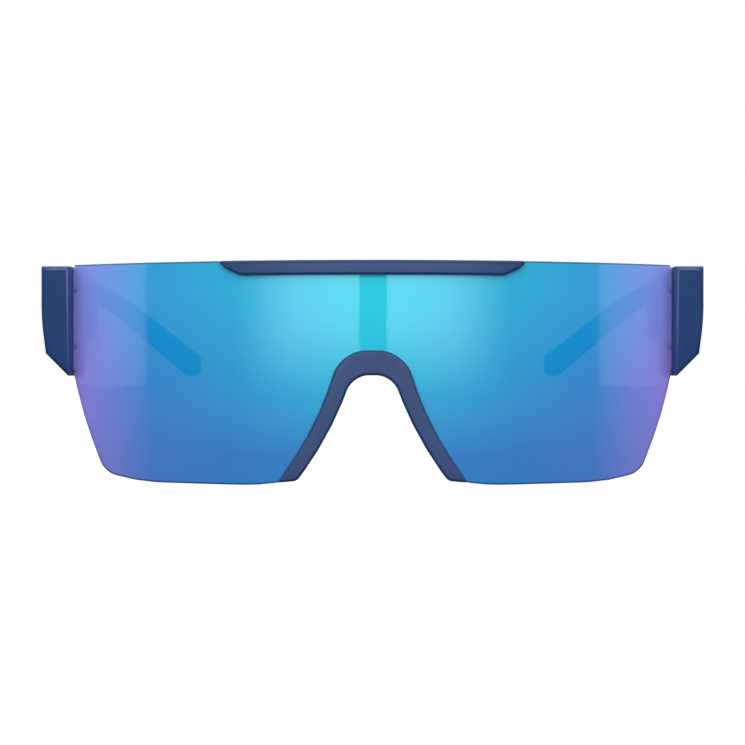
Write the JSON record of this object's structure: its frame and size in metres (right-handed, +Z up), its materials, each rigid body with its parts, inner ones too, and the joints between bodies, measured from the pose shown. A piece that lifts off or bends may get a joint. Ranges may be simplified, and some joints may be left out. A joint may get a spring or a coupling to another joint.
{
  "type": "wraparound sport sunglasses",
  "caption": "Wraparound shield sunglasses with a cylindrical mirror lens, a brow bar, a nose frame with soft pads, tall endpieces and folding temples with ear sleeves.",
  "frame": {"origin": "under the middle of the whole, level with the lens's lowest edge", "axes": "+Z up, the lens faces -Y, the temples run back along +Y, and the wearer's left is +X"},
  "size_m": [0.1486, 0.146, 0.0489],
  "materials": {
    "mirror_lens": "polished polycarbonate with a blue mirror coating",
    "navy_frame": "satin moulded nylon",
    "steel": "turned and stamped stainless steel",
    "soft_navy": "matt moulded elastomer"
  },
  "bodies": {
    "front": {"shield_lens": "mirror_lens", "brow_bar": "navy_frame", "brow_screws": "steel", "nose_frame": "navy_frame", "nose_screws": "steel", "nose_pad_left": "soft_navy", "nose_pad_right": "soft_navy", "endpiece_left": "navy_frame", "endpiece_right": "navy_frame", "lens_screws": "steel", "front_leaf_left": "steel", "front_leaf_right": "steel", "front_leaf_screws": "steel", "hinge_screw_left": "steel", "hinge_screw_right": "steel"},
    "left_temple": {"temple_left": "navy_frame", "temple_leaf_left": "steel", "temple_screws_left": "steel", "temple_core_left": "steel", "ear_sleeve_left": "soft_navy"},
    "right_temple": {"temple_right": "navy_frame", "temple_leaf_right": "steel", "temple_screws_right": "steel", "temple_core_right": "steel", "ear_sleeve_right": "soft_navy"}
  },
  "joints": [
    {"name": "left_fold", "type": "hinge", "parent": "front", "child": "left_temple", "pos_m": [0.06515, -0.03315, 0.037], "axis": [0, 0, 1], "range_deg": [0, 88]},
    {"name": "right_fold", "type": "hinge", "parent": "front", "child": "right_temple", "pos_m": [-0.06515, -0.03315, 0.037], "axis": [0, 0, -1], "range_deg": [0, 76]}
  ]
}
